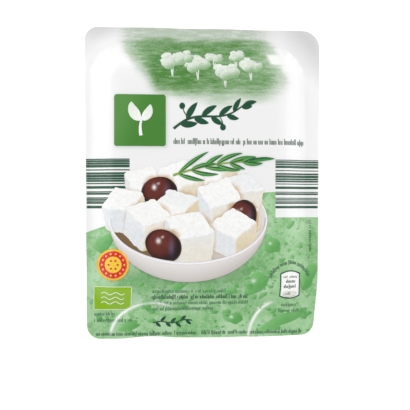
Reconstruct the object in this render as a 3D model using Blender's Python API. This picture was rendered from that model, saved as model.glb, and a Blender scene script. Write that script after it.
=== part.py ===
# A sealed cheese pack: a filled, formed back film with a printed front film sealed over it.
# It lies on its back. The printed face points to +Z, the print's top points to +Y, and the
# origin is on the ground under the middle of the pack's outline.

import bpy
import numpy as np

MM = 0.001

# Whole pack
PACK_WIDTH = 104.2 * MM
PACK_LENGTH = 136.8 * MM
PLATEAU_HEIGHT = 22.0 * MM
SEAL_HEIGHT = 16.0 * MM
CROWN = 0.5 * MM
# Radii of the cut corners: bottom left, bottom right, top right, top left
PACK_RADII = np.array([6.0, 5.5, 7.5, 6.0]) * MM

# The block inside, as its outline shows through the films
BLOCK_WIDTH = 90.0 * MM
BLOCK_LENGTH = 110.0 * MM
BLOCK_CENTRE = np.array([-2.4, 2.2]) * MM
BLOCK_RADII = np.array([11.0, 11.0, 12.0, 11.0]) * MM
SHOULDER_INSIDE = 7.0 * MM
SHOULDER_OUTSIDE = 4.0 * MM

# The formed back: how far its base, its wall and its turn into the seal stand in from the block's
# outline, and how high the base's rounded edge climbs
BASE_INSET = 6.0 * MM
WALL_FOOT_INSET = 2.4 * MM
WALL_TOP_INSET = 0.2 * MM
SEAL_TURN = 1.8 * MM
BASE_EDGE_HEIGHT = 4.0 * MM

# Films at the seal, with the gap that keeps their two solids apart
FRONT_FILM = 0.5 * MM
BACK_FILM = 0.5 * MM
FILM_GAP = 0.3 * MM

# The free edges aren't straight: the pack is a little wider at its top, the right edge draws in
# towards the bottom, and the bottom one is drawn in beside the left bulge and towards its right end
TOP_WIDENING = 1.1 * MM
RIGHT_DRAW_IN = 1.9 * MM
RIGHT_DRAW_START = -38.0 * MM
BOTTOM_DRAW_IN = 1.0 * MM
BOTTOM_DRAW_X = -24.0 * MM
BOTTOM_DRAW_REACH = 9.0 * MM
RIGHT_END_RISE = 0.5 * MM
RIGHT_END_START = 20.0 * MM
EDGE_WAVE = 0.06 * MM
EDGE_WAVE_LENGTH = 31.0 * MM
SEAL_WAVE = 0.45 * MM
SEAL_WAVE_LENGTH = 54.0 * MM

# Two bulges of slack film below the block: centre, half width, half length and height
BULGES = (
    ((-23.0 * MM, -68.0 * MM), 18.5 * MM, 15.2 * MM, 1.5 * MM),
    ((34.5 * MM, -71.0 * MM), 14.8 * MM, 18.8 * MM, 1.6 * MM),
)

# Points along one side and round one corner; the bottom side has more, for the bulges
BOTTOM_POINTS = 36
SIDE_POINTS = 15
CORNER_POINTS = 6

# Rings of the front surface: shares of the block's outline, steps in or out from it (minus is
# out), and shares of the way from the last of these to the cut edge
INNER_SHARES = (0.3, 0.62)
SHOULDER_STEPS = np.array([9.0, 7.0, 5.0, 3.2, 1.4, -0.6, -2.4, -4.0]) * MM
SEAL_SHARES = (0.2, 0.4, 0.6, 0.8, 1.0)
WALL_FILLET_STEPS = 4
SHARP_ANGLE = np.radians(50)
TIE = 0.001 * MM


def smoothstep(value, low, high):
    t = np.clip((value - low) / (high - low), 0.0, 1.0)
    return t * t * (3.0 - 2.0 * t)


def rounded_rectangle(width, length, radii, centre=(0.0, 0.0)):
    """Points round a rectangle with rounded corners, anticlockwise from its bottom left.

    Every call spreads its points alike, so that two outlines pair point by point."""
    half = np.array([width, length]) / 2
    corners = np.array([[-1, -1], [1, -1], [1, 1], [-1, 1]]) * half
    inward = np.array([[1, 1], [-1, 1], [-1, -1], [1, -1]])
    arcs = []
    for i in range(4):
        middle = corners[i] + inward[i] * radii[i]
        turn = np.radians(180 + 90 * i) + np.linspace(0, np.pi / 2, CORNER_POINTS)
        arcs.append(middle + radii[i] * np.stack([np.cos(turn), np.sin(turn)], axis=1))
    points = []
    for i in range(4):
        start, end = arcs[i][-1], arcs[(i + 1) % 4][0]
        count = BOTTOM_POINTS if i == 0 else SIDE_POINTS
        along = (np.arange(count) + 1.0)[:, None] / (count + 1)
        points += [arcs[i], start + (end - start) * along]
    return np.concatenate(points) + np.asarray(centre)


def block_outline(inset=0.0):
    """The block's outline, drawn in by inset, or out where inset is negative."""
    radii = np.maximum(BLOCK_RADII - inset, 3.0 * MM)
    return rounded_rectangle(
        BLOCK_WIDTH - 2 * inset, BLOCK_LENGTH - 2 * inset, radii, BLOCK_CENTRE
    )


def cut_edge():
    """The pack's cut outline: a rounded rectangle, drawn in and waved as the named sizes say."""
    points = rounded_rectangle(PACK_WIDTH, PACK_LENGTH, PACK_RADII)
    x, y = points[:, 0].copy(), points[:, 1].copy()
    right = smoothstep(x, 0.0, PACK_WIDTH / 2)
    bottom = smoothstep(-y, 0.7 * PACK_LENGTH / 2, PACK_LENGTH / 2)
    low_right = smoothstep(-y, -RIGHT_DRAW_START, PACK_LENGTH / 2)
    pinch = np.exp(-(((x - BOTTOM_DRAW_X) / BOTTOM_DRAW_REACH) ** 2))
    right_end = smoothstep(x, RIGHT_END_START, PACK_WIDTH / 2)
    points[:, 0] += TOP_WIDENING * x * y / (PACK_WIDTH * PACK_LENGTH / 2)
    points[:, 0] -= RIGHT_DRAW_IN * right * low_right
    points[:, 0] += EDGE_WAVE * np.sin(2 * np.pi * y / EDGE_WAVE_LENGTH) * np.sign(x)
    points[:, 1] += bottom * (BOTTOM_DRAW_IN * pinch + RIGHT_END_RISE * right_end)
    points[:, 1] += EDGE_WAVE * np.sin(2 * np.pi * x / EDGE_WAVE_LENGTH) * np.sign(y)
    return points - (points.max(axis=0) + points.min(axis=0)) / 2


def depth_inside_block(x, y):
    """Distance in from the block's outline; negative outside."""
    px, py = x - BLOCK_CENTRE[0], y - BLOCK_CENTRE[1]
    low = np.where(px < 0, BLOCK_RADII[0], BLOCK_RADII[1])
    high = np.where(px < 0, BLOCK_RADII[3], BLOCK_RADII[2])
    radius = np.where(py < 0, low, high)
    qx = np.abs(px) - BLOCK_WIDTH / 2 + radius
    qy = np.abs(py) - BLOCK_LENGTH / 2 + radius
    outside = np.hypot(np.maximum(qx, 0.0), np.maximum(qy, 0.0))
    return radius - outside - np.minimum(np.maximum(qx, qy), 0.0)


def bulge_height(x, y):
    """Each bulge rises sharply across its rim and falls away gently inside and to its right."""
    total = np.zeros_like(x)
    for centre, half_width, half_length, height in BULGES:
        across = (x - centre[0]) / half_width
        along = (y - centre[1]) / half_length
        reach = np.hypot(across, along)
        rim = 1.0 - smoothstep(reach, 0.9, 1.12)
        hollow = 0.35 + 0.65 * smoothstep(reach, 0.2, 0.92)
        fade = 1.0 - smoothstep(across, 0.1, 0.95)
        total += height * rim * hollow * fade
    return total


def seal_wave(x, y):
    """Slow waves of the sealed border, zero at the block's outline."""
    outside = smoothstep(-depth_inside_block(x, y), 0.0, 6.0 * MM)
    turn = 2 * np.pi / SEAL_WAVE_LENGTH
    return SEAL_WAVE * outside * np.sin(turn * (x + 0.6 * y)) * np.cos(0.7 * turn * (y - x))


def front_height(x, y):
    """The printed face: the seal's level, the shoulder up to the plateau, and a slight crown."""
    depth = depth_inside_block(x, y)
    shoulder = smoothstep(depth, -SHOULDER_OUTSIDE, SHOULDER_INSIDE)
    px = 2 * (x - BLOCK_CENTRE[0]) / BLOCK_WIDTH
    py = 2 * (y - BLOCK_CENTRE[1]) / BLOCK_LENGTH
    crown = CROWN * np.clip(1 - px * px, 0, 1) * np.clip(1 - py * py, 0, 1)
    rise = (PLATEAU_HEIGHT - SEAL_HEIGHT) * shoulder
    return SEAL_HEIGHT + rise + crown + bulge_height(x, y) + seal_wave(x, y)


def front_rings():
    """Rings of plan points from the block's middle out to the cut edge."""
    outline = block_outline()
    rings = [BLOCK_CENTRE + (outline - BLOCK_CENTRE) * share for share in INNER_SHARES]
    rings += [block_outline(step) for step in SHOULDER_STEPS]
    inner, edge = rings[-1], cut_edge()
    rings += [inner + (edge - inner) * share for share in SEAL_SHARES]
    return rings


def back_rings():
    """Rings of the formed back, each with its heights, from the cut edge in to the base.

    Under the seal they pass below the front's own rings, so that the border keeps its thickness."""
    under_seal = FRONT_FILM + FILM_GAP + BACK_FILM
    rings = []
    for plan in front_rings()[: -len(SEAL_SHARES) - 3 : -1]:
        rings.append((plan, front_seal_height(plan) - under_seal))
    count = len(rings[0][0])
    top = SEAL_HEIGHT - under_seal - SEAL_TURN
    rings.append((block_outline(WALL_TOP_INSET), np.full(count, top)))
    for i in range(WALL_FILLET_STEPS + 1):
        angle = np.pi / 2 * i / WALL_FILLET_STEPS
        inset = WALL_FOOT_INSET + (BASE_INSET - WALL_FOOT_INSET) * (1 - np.cos(angle))
        height = BASE_EDGE_HEIGHT * (1 - np.sin(angle))
        rings.append((block_outline(inset), np.full(count, height)))
    return rings


def front_seal_height(plan):
    """Level of the border's front surface, without the shoulder that climbs to the plateau."""
    x, y = plan[:, 0], plan[:, 1]
    return SEAL_HEIGHT + bulge_height(x, y) + seal_wave(x, y)


def split_quad(a, b, c, d, along_ac):
    """Two triangles of a four-sided face, split from a to c or else from b to d."""
    return [(a, b, c), (a, c, d)] if along_ac else [(a, b, d), (b, c, d)]


def closed_mesh(name, rings, top_centre, bottom_centre):
    """Skins a stack of rings that runs from the top centre point out, round and in to the bottom one.

    Each four-sided face is split along its shorter diagonal in plan, so that two surfaces over the
    same plan points stay parallel."""
    count = len(rings[0])
    vertices = np.concatenate([*rings, [top_centre, bottom_centre]])
    following = (np.arange(count) + 1) % count
    top, bottom = len(vertices) - 2, len(vertices) - 1
    last = (len(rings) - 1) * count
    faces = []
    for i, j in enumerate(following.tolist()):
        faces.append((top, i, j))
        faces.append((bottom, last + j, last + i))
    for ring, (upper, lower) in enumerate(zip(rings, rings[1:])):
        forward = np.hypot(*(upper - lower[following])[:, :2].T)
        backward = np.hypot(*(lower - upper[following])[:, :2].T)
        a, b = ring * count, (ring + 1) * count
        for i, j in enumerate(following.tolist()):
            shorter = forward[i] < backward[i] - TIE
            tied = abs(forward[i] - backward[i]) <= TIE and reaches_out(upper, lower)
            faces += split_quad(a + i, b + i, b + j, a + j, shorter or tied)
    mesh = bpy.data.meshes.new(name)
    mesh.from_pydata(vertices.tolist(), [], faces)
    mesh.shade_smooth()
    mesh.set_sharp_from_angle(angle=SHARP_ANGLE)
    part = bpy.data.objects.new(name, mesh)
    bpy.context.collection.objects.link(part)
    return part


def reaches_out(upper, lower):
    """True if the second ring lies further from the block's middle than the first."""
    middle = [np.hypot(*(ring[:, :2] - BLOCK_CENTRE).T).mean() for ring in (upper, lower)]
    return middle[0] < middle[1]


def raised(plan, height):
    return np.column_stack([plan, height])


def add_material(part, name, colour, roughness):
    material = bpy.data.materials.new(name)
    material.use_nodes = True
    shader = material.node_tree.nodes["Principled BSDF"]
    shader.inputs["Base Color"].default_value = (*colour, 1.0)
    shader.inputs["Roughness"].default_value = roughness
    shader.inputs["Metallic"].default_value = 0.0
    part.data.materials.append(material)


def make_front_film():
    plans = front_rings()
    heights = [front_height(plan[:, 0], plan[:, 1]) for plan in plans]
    upper = [raised(plan, height) for plan, height in zip(plans, heights)]
    lower = [raised(plan, height - FRONT_FILM) for plan, height in zip(plans, heights)]
    middle = float(front_height(*BLOCK_CENTRE))
    return closed_mesh(
        "front_film",
        upper + lower[::-1],
        (*BLOCK_CENTRE, middle),
        (*BLOCK_CENTRE, middle - FRONT_FILM),
    )


def make_filled_pouch():
    under_film = FRONT_FILM + FILM_GAP
    rings = []
    for plan in front_rings():
        rings.append(raised(plan, front_height(plan[:, 0], plan[:, 1]) - under_film))
    rings += [raised(plan, height) for plan, height in back_rings()]
    middle = float(front_height(*BLOCK_CENTRE)) - under_film
    return closed_mesh("filled_pouch", rings, (*BLOCK_CENTRE, middle), (*BLOCK_CENTRE, 0.0))


for old in list(bpy.data.objects):
    bpy.data.objects.remove(old)

add_material(make_front_film(), "printed_gloss_film", (0.86, 0.88, 0.85), 0.3)
add_material(make_filled_pouch(), "white_formed_film", (0.83, 0.84, 0.82), 0.35)
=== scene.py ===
# Looks of a vacuum pack of white brined cheese: a glossy printed film sealed over a formed white
# pouch, lying on its back with the print facing up. Lengths are in millimetres until a mesh is made.
import bmesh
import bpy
import numpy as np
from mathutils import Matrix, Vector


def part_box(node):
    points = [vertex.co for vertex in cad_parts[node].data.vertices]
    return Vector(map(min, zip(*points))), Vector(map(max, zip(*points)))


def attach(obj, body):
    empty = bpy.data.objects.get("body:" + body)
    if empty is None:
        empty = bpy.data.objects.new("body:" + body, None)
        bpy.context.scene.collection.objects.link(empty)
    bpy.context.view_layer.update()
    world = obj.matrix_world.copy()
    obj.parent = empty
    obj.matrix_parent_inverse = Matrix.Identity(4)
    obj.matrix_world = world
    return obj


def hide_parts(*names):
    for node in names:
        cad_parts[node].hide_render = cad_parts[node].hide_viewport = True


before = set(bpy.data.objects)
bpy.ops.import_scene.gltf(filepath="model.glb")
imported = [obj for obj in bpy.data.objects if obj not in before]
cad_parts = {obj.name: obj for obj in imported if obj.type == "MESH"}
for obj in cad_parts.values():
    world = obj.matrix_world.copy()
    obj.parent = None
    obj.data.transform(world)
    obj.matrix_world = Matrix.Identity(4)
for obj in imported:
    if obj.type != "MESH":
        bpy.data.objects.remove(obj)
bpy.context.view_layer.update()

mm = 0.001
filmLow, filmHigh = [np.array(corner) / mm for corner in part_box("front_film")]

pack = {
    "edgeWave": 0.06, "edgeWaveLength": 31.0,
    "topWidening": 1.1, "widestShare": 0.8,   # how much of the widening the rounded corners leave
    "radii": (6.0, 5.5, 7.5, 6.0),            # bottom left, bottom right, top right, top left
    "sealLevel": 16.0, "crown": 0.5,
    "sealWave": 0.45, "sealWaveLength": 54.0,
    "rightDrawIn": 1.9, "rightDrawStart": -38.0,
    "bottomDrawIn": 1.0, "bottomDrawX": -24.0, "bottomDrawReach": 9.0,
    "rightEndRise": 0.5, "rightEndStart": 20.0,
    "bulges": (((-23.0, -68.0), 18.5, 15.2, 1.5), ((34.5, -71.0), 14.8, 18.8, 1.6)),
}
block = {
    "size": (90.0, 110.0), "centre": (-2.4, 2.2), "radii": (11.0, 11.0, 12.0, 11.0),
    "shoulderInside": 7.0, "shoulderOutside": 4.0, "runOut": 13.0, "runOutShare": 0.3,
}
packSize = (filmHigh - filmLow)[:2] - 2 * pack["edgeWave"]
packSize[0] -= pack["widestShare"] * pack["topWidening"]
plateauRise = filmHigh[2] - pack["crown"] - pack["sealLevel"]


def smoothstep(value, low, high):  # 0 up to low, 1 from high on, and an even S between
    t = np.clip((value - low) / (high - low), 0.0, 1.0)
    return t * t * (3.0 - 2.0 * t)


def linearColour(code):  # sRGB hex to the linear values that shaders take
    parts = np.array([int(code[i:i + 2], 16) for i in (1, 3, 5)]) / 255
    return np.where(parts <= 0.04045, parts / 12.92, ((parts + 0.055) / 1.055) ** 2.4)


def blend(first, second, share):  # two hex or linear colours, mixed point by point
    first = linearColour(first) if isinstance(first, str) else first
    second = linearColour(second) if isinstance(second, str) else second
    return first + (second - first) * np.asarray(share)[..., None]


def waveSum(x, y, seed, shortest, longest, count=14):
    # A rolling surface, about -1 to 1: plane waves with seeded headings, lengths and phases
    draw = np.random.default_rng(seed)
    total = np.zeros(np.shape(x))
    for heading, length, phase in draw.uniform((0, shortest, 0), (6.283, longest, 6.283), (count, 3)):
        total += np.sin(2 * np.pi * (x * np.cos(heading) + y * np.sin(heading)) / length + phase)
    return total / np.sqrt(count)


def spot(x, y, centre, size, power=2):  # soft spot: one in its middle, fading by scaled distance
    return np.exp(-np.abs((x - centre[0]) / size[0]) ** power - ((y - centre[1]) / size[1]) ** 2)


def roundedDepth(x, y, size, radii, centre=(0.0, 0.0)):
    # Distance in from a rounded rectangle's outline, negative outside, with a radius per quarter
    px, py = x - centre[0], y - centre[1]
    low = np.where(px < 0, radii[0], radii[1])
    high = np.where(px < 0, radii[3], radii[2])
    radius = np.where(py < 0, low, high)
    qx = np.abs(px) - size[0] / 2 + radius
    qy = np.abs(py) - size[1] / 2 + radius
    outside = np.hypot(np.maximum(qx, 0.0), np.maximum(qy, 0.0))
    return radius - outside - np.minimum(np.maximum(qx, qy), 0.0)


def blockDepth(x, y):
    return roundedDepth(x, y, block["size"], block["radii"], block["centre"])


relief = {
    "plateau": 0.07, "plateauLengths": (20.0, 38.0),
    "shoulder": 0.12, "shoulderLengths": (9.0, 17.0),
    "pleats": 0.07, "pleatCount": 15,
    "creaseHeight": 0.88, "creaseRun": 2.6, "creaseHeading": (-0.64, 0.77),
    "droopTopRight": 0.9, "droopTopLeft": 0.4,
    # The painted highlight along the creases takes its width and pale tone from this line, and from the next
    # where round each bulge's rim it fades in and dips
    "edgeRoll": 0.1, "edgeRollWidth": 0.7, "highlightWidth": 0.6, "highlightTone": "#FAFCF8",
    "creaseEnds": (58, 96), "creaseGap": (98, 8),    # degrees round each bulge's rim
}


def inBulge(x, y, centre, halfWidth, halfLength):
    # Where a point is across and along a bulge, as shares of its halves, the reach that makes, and
    # the distance in from the bulge's elliptic rim
    across, along = (x - centre[0]) / halfWidth, (y - centre[1]) / halfLength
    reach = np.hypot(across, along)
    return across, along, reach, (1.0 - reach) * (halfWidth + halfLength) / 2


def bulgeHeight(x, y):
    # Each bulge starts as a crease, a ramp of even slope along its elliptic rim, steepest on the rim's
    # upper left; inside it the film swells on gently, hollow in the middle and fading to the right
    total = np.zeros(np.shape(x))
    headingX, headingY = relief["creaseHeading"]
    half = relief["creaseRun"] / 2
    for *rim, height in pack["bulges"]:
        across, along, reach, inward = inBulge(x, y, *rim)
        facing = (across * headingX + along * headingY) / np.maximum(reach, 0.01)
        crease = relief["creaseHeight"] * smoothstep(facing, -0.1, 0.5) * smoothstep(inward, -half, half)
        swell = (height - relief["creaseHeight"]) * smoothstep(inward, -half, 4 * half)
        hollow = 0.4 + 0.6 * smoothstep(reach, 0.25, 0.9)
        fade = 1.0 - smoothstep(across, 0.1, 0.95)
        total += (crease + swell) * hollow * fade
    return total


# Painted glint spots at the two top corners, where the film's gloss catches the light
paintedGlintSpots = (((31.4, 54.8), 3.1, 2.5, -0.35), ((-44.0, 53.0), 3.6, 2.8, 0.7))    # centre, halves, lean


def paintedCreaseHighlight(x, y):
    # Painted highlight: a pale tone along each crease's upper-left rim, where the film's gloss catches the
    # light, thinning at both ends, and in a painted glint spot at each top corner
    total = np.zeros(np.shape(x))
    for (*rim, _), end in zip(pack["bulges"], relief["creaseEnds"]):
        across, along, _, inward = inBulge(x, y, *rim)
        angle = np.degrees(np.arctan2(along, across))
        ends = smoothstep(angle, end, end + 20) * (1.0 - smoothstep(angle, 166, 179))
        gap = 1 - 0.5 * np.exp(-((angle - relief["creaseGap"][0]) / relief["creaseGap"][1]) ** 2)
        total += ends * gap * np.exp(-(inward / (relief["highlightWidth"] * (0.5 + 0.5 * ends))) ** 2)
    for centre, halfWidth, halfHeight, lean in paintedGlintSpots:
        across = (x - centre[0] - lean * (y - centre[1])) / halfWidth
        up = (y - centre[1]) / halfHeight
        total += 1.2 * np.exp(-across ** 6 - up ** 6 - 0.5 * across ** 2)
    return np.clip(total, 0, 1)


def borderHeight(x, y):
    # The sealed border: flat, with slow waves, bulges, drooping top corners and a rolled cut edge
    turn = 2 * np.pi / pack["sealWaveLength"]
    outside = smoothstep(-blockDepth(x, y), 0.0, 6.0)
    wave = pack["sealWave"] * outside * np.sin(turn * (x + 0.6 * y)) * np.cos(0.7 * turn * (y - x))
    droop = relief["droopTopRight"] * smoothstep(x, 36, 52) * smoothstep(y, 52, 68)
    droop += relief["droopTopLeft"] * smoothstep(-x, 36, 52) * smoothstep(y, 54, 68)
    edge = np.maximum(roundedDepth(x, y, packSize, pack["radii"]), 0.0)
    roll = relief["edgeRoll"] * np.exp(-edge / relief["edgeRollWidth"])
    return pack["sealLevel"] + wave + bulgeHeight(x, y) - droop - roll


def cornerPleats(x, y):
    # Fine folds that fan out round each corner of the block, where the film had to gather
    total = np.zeros(np.shape(x))
    half = np.array(block["size"]) / 2
    for i, (sx, sy) in enumerate(((-1, -1), (1, -1), (1, 1), (-1, 1))):
        middle = np.array(block["centre"]) + (half - block["radii"][i]) * (sx, sy)
        turn = np.arctan2((y - middle[1]) * sy, (x - middle[0]) * sx)
        quarter = smoothstep(turn, 0.05, 0.6) * (1 - smoothstep(turn, np.pi / 2 - 0.6, np.pi / 2 - 0.05))
        depth = blockDepth(x, y)
        band = smoothstep(depth, -9.0, -2.0) * (1 - smoothstep(depth, -1.0, 3.0))
        fold = np.cos(relief["pleatCount"] * turn + i + 1.3 * waveSum(x, y, 11 + i, 7, 12, 6))
        total += relief["pleats"] * quarter * band * fold
    return total


def filmHeight(x, y):
    # The face: the border's level, an S-shaped shoulder up to the plateau, its crown and its relief
    depth = blockDepth(x, y)
    shoulder = smoothstep(depth, -block["shoulderOutside"], block["shoulderInside"])
    easing = smoothstep(depth, -block["shoulderOutside"], block["runOut"])
    shoulder += block["runOutShare"] * (easing - shoulder)
    px = 2 * (x - block["centre"][0]) / block["size"][0]
    py = 2 * (y - block["centre"][1]) / block["size"][1]
    crown = pack["crown"] * np.clip(1 - px * px, 0, 1) * np.clip(1 - py * py, 0, 1)
    rolling = relief["plateau"] * waveSum(x, y, 3, *relief["plateauLengths"]) * shoulder
    uneven = relief["shoulder"] * waveSum(x, y, 4, *relief["shoulderLengths"])
    uneven = uneven * 4 * shoulder * (1 - shoulder)
    return borderHeight(x, y) + plateauRise * shoulder + crown + rolling + uneven + cornerPleats(x, y)


def roundedPanel(size, radii, cell, centre=(0.0, 0.0), straight=None, cornerRows=8):
    # A grid over a rounded rectangle: even columns whose ends follow the corner arcs, in rows that
    # crowd together towards both ends, where the arcs turn
    halfWidth, halfLength = size[0] / 2, size[1] / 2
    reach = max(radii)
    flat = halfLength - reach
    ends = flat + reach * np.sin(np.linspace(0, np.pi / 2, cornerRows + 1)[1:])
    if straight is None:
        straight = np.linspace(-flat, flat, int(np.ceil(2 * flat / cell)) + 2)
    rows = np.concatenate([-ends[::-1], straight, ends])

    def cornerInset(radius):
        over = np.clip(np.abs(rows) - (halfLength - radius), 0, radius)
        return radius - np.sqrt(radius ** 2 - over ** 2)

    left = cornerInset(np.where(rows < 0, radii[0], radii[3])) - halfWidth
    right = halfWidth - cornerInset(np.where(rows < 0, radii[1], radii[2]))
    share = np.linspace(0, 1, int(np.ceil(size[0] / cell)) + 1)
    x = left[:, None] + (right - left)[:, None] * share
    return x + centre[0], np.broadcast_to(rows[:, None], x.shape) + centre[1]


def packPlan():
    # The film's plan: a rounded panel whose sides wave, whose right side draws in towards the bottom
    # and whose bottom is pinched beside the left bulge; rows are closest across the creases
    flat = packSize[1] / 2 - max(pack["radii"])
    straight = np.concatenate([np.linspace(-flat, -46, 46)[:-1], np.linspace(-46, flat, 238)])
    x, y = roundedPanel(packSize, pack["radii"], 0.47, straight=straight, cornerRows=18)
    halfWidth, halfLength = packSize / 2
    right = smoothstep(x, 0.0, halfWidth)
    bottom = smoothstep(-y, 0.7 * halfLength, halfLength)
    lowRight = smoothstep(-y, -pack["rightDrawStart"], halfLength)
    pinch = np.exp(-(((x - pack["bottomDrawX"]) / pack["bottomDrawReach"]) ** 2))
    turn = 2 * np.pi / pack["edgeWaveLength"]
    nearSide = np.abs(x / halfWidth) ** 3 * np.sign(x)
    nearEnd = np.abs(y / halfLength) ** 3 * np.sign(y)
    rightEnd = smoothstep(x, pack["rightEndStart"], halfWidth)
    movedX = x + pack["topWidening"] * x * y / (2 * halfWidth * halfLength)
    movedX += pack["edgeWave"] * np.sin(turn * y) * nearSide - pack["rightDrawIn"] * right * lowRight
    movedY = y + bottom * (pack["bottomDrawIn"] * pinch + pack["rightEndRise"] * rightEnd)
    movedY += pack["edgeWave"] * np.sin(turn * x) * nearEnd
    return movedX - (movedX.max() + movedX.min()) / 2, movedY - (movedY.max() + movedY.min()) / 2


def gridFaces(rows, columns):  # four-sided faces of a grid, facing up if columns go right, rows up
    corner = np.arange((rows - 1) * columns).reshape(rows - 1, columns)[:, :-1].ravel()
    return np.stack([corner, corner + 1, corner + columns + 1, corner + columns], axis=1)


def rimOf(values):  # a grid's outer values, anticlockwise from its first corner
    return np.concatenate([values[0, :-1], values[:-1, -1], values[-1, :0:-1], values[:0:-1, 0]])


def ringAtDepth(loop, depth):
    # Slides each point of a loop towards the block's middle until it lies at that depth inside the
    # block's outline, by halving the search eighteen times
    centre = np.array(block["centre"])
    low, high = np.zeros(len(loop)), np.ones(len(loop))
    for _ in range(18):
        share = (low + high) / 2
        x, y = (centre + (loop - centre) * share[:, None]).T
        deeper = blockDepth(x, y) > depth
        low, high = np.where(deeper, share, low), np.where(deeper, high, share)
    return centre + (loop - centre) * low[:, None]


def stackFaces(first, second):  # faces between two rings of indices, outer side facing out
    return np.stack([second, np.roll(second, -1), np.roll(first, -1), first], axis=1)


def raised(plan, height):
    return np.column_stack([plan, np.broadcast_to(height, len(plan))])


def makePiece(name, vertices, faces, material, attributes=None):
    mesh = bpy.data.meshes.new(name)
    mesh.from_pydata((np.asarray(vertices) * mm).tolist(), [], faces)
    for key, values in (attributes or {}).items():
        if values.ndim == 1:
            mesh.attributes.new(key, "FLOAT", "POINT").data.foreach_set("value", values)
        else:
            rgba = np.column_stack([values, np.ones(len(values))])
            mesh.attributes.new(key, "FLOAT_COLOR", "POINT").data.foreach_set("color", rgba.ravel())
    work = bmesh.new()
    work.from_mesh(mesh)
    bmesh.ops.remove_doubles(work, verts=work.verts, dist=0.001 * mm)
    work.to_mesh(mesh)
    work.free()
    mesh.shade_smooth()
    mesh.set_sharp_from_angle(angle=np.radians(50))
    mesh.materials.append(material)
    piece = bpy.data.objects.new(name, mesh)
    bpy.context.collection.objects.link(piece)
    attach(piece, "root")
    print(name, len(mesh.vertices), "vertices")
    return piece


def addNode(tree, kind, settings=None, links=None):  # a node, its settings, and what feeds it
    node = tree.nodes.new("ShaderNode" + kind)
    for key, value in (settings or {}).items():
        if isinstance(key, str) and hasattr(node, key):
            setattr(node, key, value)
        else:
            node.inputs[key].default_value = value
    for key, output in (links or {}).items():
        tree.links.new(output, node.inputs[key])
    return node


def colourOf(code):
    return (*linearColour(code), 1.0)


def newMaterial(name):
    material = bpy.data.materials.new(name)
    material.use_nodes = True
    material.node_tree.nodes.clear()
    return material, material.node_tree


def noiseOn(tree, place, lengthMm, detail=2.0, roughness=0.5, stretch=(1, 1, 1)):
    # Noise whose lumps are about as wide as the given millimetres, stretched along the axes
    mapping = addNode(tree, "Mapping", {"Scale": stretch}, {"Vector": place})
    settings = {"Scale": 1 / (lengthMm * mm), "Detail": detail, "Roughness": roughness}
    return addNode(tree, "TexNoise", settings, {"Vector": mapping.outputs[0]}).outputs["Fac"]


filmFinish = {
    "roughness": 0.3, "inkSpecular": 0.1, "coat": 1.0, "coatRoughness": 0.14,
    "skinMm": 2.6, "skinDepthMm": 0.008,
}


def finishFilm(tree, place, colour, roughness=filmFinish["roughness"], under=None):
    # Gloss of a heat-sealed laminate: a smooth plastic skin with a faint orange peel. The ink is bonded
    # under it with no air between, so nearly all the reflection is the skin's
    skin = noiseOn(tree, place, filmFinish["skinMm"], 3)
    links = {"Height": skin} if under is None else {"Height": skin, "Normal": under}
    bump = addNode(tree, "Bump", {"Distance": filmFinish["skinDepthMm"] * mm}, links)
    shader = addNode(
        tree, "BsdfPrincipled",
        {
            "Roughness": roughness, "IOR": 1.5, "Specular IOR Level": filmFinish["inkSpecular"],
            "Coat Weight": filmFinish["coat"], "Coat Roughness": filmFinish["coatRoughness"],
        },
        {"Base Color": colour, "Normal": bump.outputs[0]},
    )
    addNode(tree, "OutputMaterial", None, {"Surface": shader.outputs[0]})


border = {
    "ribPitch": 1.2, "ribDepth": 0.012, "ribFrom": 0.8, "ribTo": 6.8,
    # The grey tone is a painted shade on the border's top edge and right corner
    # The white is painted light, a whiter bare white over the border
    "paintedShadeTone": "#CFCFCF", "white": "#FDFDFD", "whiteFrom": -14.0,
}


def paintedBorderShade(x, y):
    # Painted shade: the sealed border's white turns greyer towards the top edge, and most of all in its
    # right corner
    outside = smoothstep(-blockDepth(x, y), -5.0, 3.0)
    top = 0.48 * smoothstep(y, 59.5, 69.5) + 0.32 * smoothstep(y - x, 103, 113)
    corner = 0.82 * np.clip((x + y - 93) / 17.5, 0, 1)
    return outside * np.maximum(top, corner)


vignette = {
    "left": ((-41.5, 62.0), (-28.5, 40.0)), "leftFade": (15.0, 9.0),    # fade width, top and bottom
    "right": 35.6, "top": 66.0, "bottom": 31.6,
    "paper": "#F6F6F6", "pale": "#CBD9C7", "mid": "#88AD7D", "dark": "#4F873B",
    "ink": 0.67, "denser": (                  # how much more ink, the spot's centre and its reach
        (0.28, (-12, 47), (15, 8)), (0.14, (8, 59), (18, 4)), (0.18, (-23, 54), (9, 6)),
    ),
}
greenField = {
    "start": -7.37, "slope": 0.173, "bend": -0.00201,    # top edge: start + slope x + bend x^2
    "panelX": 31.1, "panelY": -15.2,
    "light": "#B2D8AC", "mid": "#99CA92", "dark": "#80BD78", "deep": "#62AD5B", "veins": "#C6E0BC",
    "layers": (       # lump in mm, detail, roughness, stretch, value from and to, strength, colour
        (7, 2.5, 0.55, (1, 1.2, 1), 0.565, 0.6, 0.62, "deep"),      # crisp blotches
        (2.0, 4, 0.65, (0.6, 1, 1), 0.48, 0.66, 0.45, "light"),     # pale mottle
        (2.6, 1.5, 0.5, (1, 1, 1), 0.6, 0.64, 0.45, "deep"),        # flecks
        (0.75, 2, 0.6, (1, 0.6, 1), 0.38, 0.66, 0.3, "veins"),      # fine veins
    ),
}
tile = {"centre": (-28.85, 27.15), "size": (22.5, 22.5), "radius": 1.1, "shadeShift": (0.55, -0.45)}


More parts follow.
